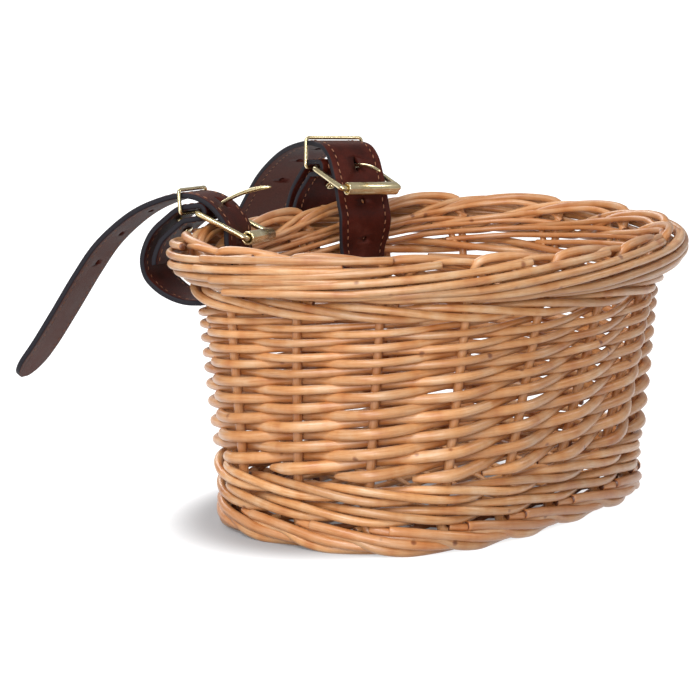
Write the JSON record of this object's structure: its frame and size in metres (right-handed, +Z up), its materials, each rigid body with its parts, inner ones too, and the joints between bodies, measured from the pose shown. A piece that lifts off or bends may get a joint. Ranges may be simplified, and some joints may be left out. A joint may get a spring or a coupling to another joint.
{
  "type": "bicycle basket",
  "caption": "Small D-shaped wicker bicycle basket with a rolled willow rim and leather handlebar straps that close with brass roller buckles.",
  "frame": {"origin": "on the ground under the middle of the basket's rim", "axes": "+Z up, +Y towards the flat back that carries the straps, +X to the right of someone who looks along +Y"},
  "size_m": [0.2647, 0.2876, 0.1664],
  "materials": {
    "willow_stake": "peeled and varnished",
    "willow_weaver": "peeled and varnished",
    "leather": "smooth, waxed",
    "brass": "polished"
  },
  "bodies": {
    "basket": {"stake_01": "willow_stake", "stake_02": "willow_stake", "stake_03": "willow_stake", "stake_04": "willow_stake", "stake_05": "willow_stake", "stake_06": "willow_stake", "stake_07": "willow_stake", "stake_08": "willow_stake", "stake_09": "willow_stake", "stake_10": "willow_stake", "stake_11": "willow_stake", "stake_12": "willow_stake", "stake_13": "willow_stake", "stake_14": "willow_stake", "stake_15": "willow_stake", "side_weaver_01": "willow_weaver", "side_weaver_02": "willow_weaver", "side_weaver_03": "willow_weaver", "side_weaver_04": "willow_weaver", "side_weaver_05": "willow_weaver", "side_weaver_06": "willow_weaver", "side_weaver_07": "willow_weaver", "side_weaver_08": "willow_weaver", "side_weaver_09": "willow_weaver", "side_weaver_10": "willow_weaver", "side_weaver_11": "willow_weaver", "side_weaver_12": "willow_weaver", "side_weaver_13": "willow_weaver", "side_weaver_14": "willow_weaver", "side_weaver_15": "willow_weaver", "foot_wale_1_rod_1": "willow_weaver", "foot_wale_1_rod_2": "willow_weaver", "foot_wale_1_rod_3": "willow_weaver", "foot_wale_2_rod_1": "willow_weaver", "foot_wale_2_rod_2": "willow_weaver", "foot_wale_2_rod_3": "willow_weaver", "rim_wale_rod_1": "willow_weaver", "rim_wale_rod_2": "willow_weaver", "rim_wale_rod_3": "willow_weaver", "base_stick_1": "willow_stake", "base_stick_2": "willow_stake", "base_stick_3": "willow_stake", "base_stick_4": "willow_stake", "base_weave": "willow_weaver", "left_strap": "leather", "right_strap": "leather", "left_strap_rivet": "brass", "right_strap_rivet": "brass"},
    "left_frame": {"left_buckle_frame": "brass"},
    "left_roller": {"left_buckle_roller": "brass"},
    "left_prong": {"left_buckle_prong": "brass"},
    "left_keeper": {"left_strap_keeper": "brass"},
    "right_frame": {"right_buckle_frame": "brass"},
    "right_roller": {"right_buckle_roller": "brass"},
    "right_prong": {"right_buckle_prong": "brass"},
    "right_keeper": {"right_strap_keeper": "brass"}
  },
  "joints": [
    {"name": "left_frame_lift", "type": "hinge", "parent": "basket", "child": "left_frame", "pos_m": [-0.06437, 0.07309, 0.13978], "axis": [-0.9501, -0.3058, 0.0611], "range_deg": [0, 20]},
    {"name": "left_roller_spin", "type": "hinge", "parent": "left_frame", "child": "left_roller", "pos_m": [-0.05745, 0.04941, 0.12882], "axis": [-0.9501, -0.3058, 0.0611], "continuous": true},
    {"name": "left_prong_lift", "type": "hinge", "parent": "basket", "child": "left_prong", "pos_m": [-0.06437, 0.07309, 0.13978], "axis": [-0.9501, -0.3058, 0.0611], "range_deg": [0, 5]},
    {"name": "left_keeper_tilt", "type": "hinge", "parent": "basket", "child": "left_keeper", "pos_m": [-0.06671, 0.08017, 0.13875], "axis": [-0.9501, -0.3058, 0.0611], "range_deg": [-8, 0]},
    {"name": "right_frame_lift", "type": "hinge", "parent": "basket", "child": "right_frame", "pos_m": [0.04147, 0.07509, 0.15078], "axis": [-0.9435, 0.3269, 0.0545], "range_deg": [0, 8]},
    {"name": "right_roller_spin", "type": "hinge", "parent": "right_frame", "child": "right_roller", "pos_m": [0.03261, 0.05084, 0.14289], "axis": [-0.9435, 0.3269, 0.0545], "continuous": true},
    {"name": "right_prong_lift", "type": "hinge", "parent": "basket", "child": "right_prong", "pos_m": [0.04147, 0.07509, 0.15078], "axis": [-0.9435, 0.3269, 0.0545], "range_deg": [0, 5]},
    {"name": "right_keeper_tilt", "type": "hinge", "parent": "basket", "child": "right_keeper", "pos_m": [0.04384, 0.08206, 0.15], "axis": [-0.9435, 0.3269, 0.0545], "range_deg": [-8, 0]}
  ]
}
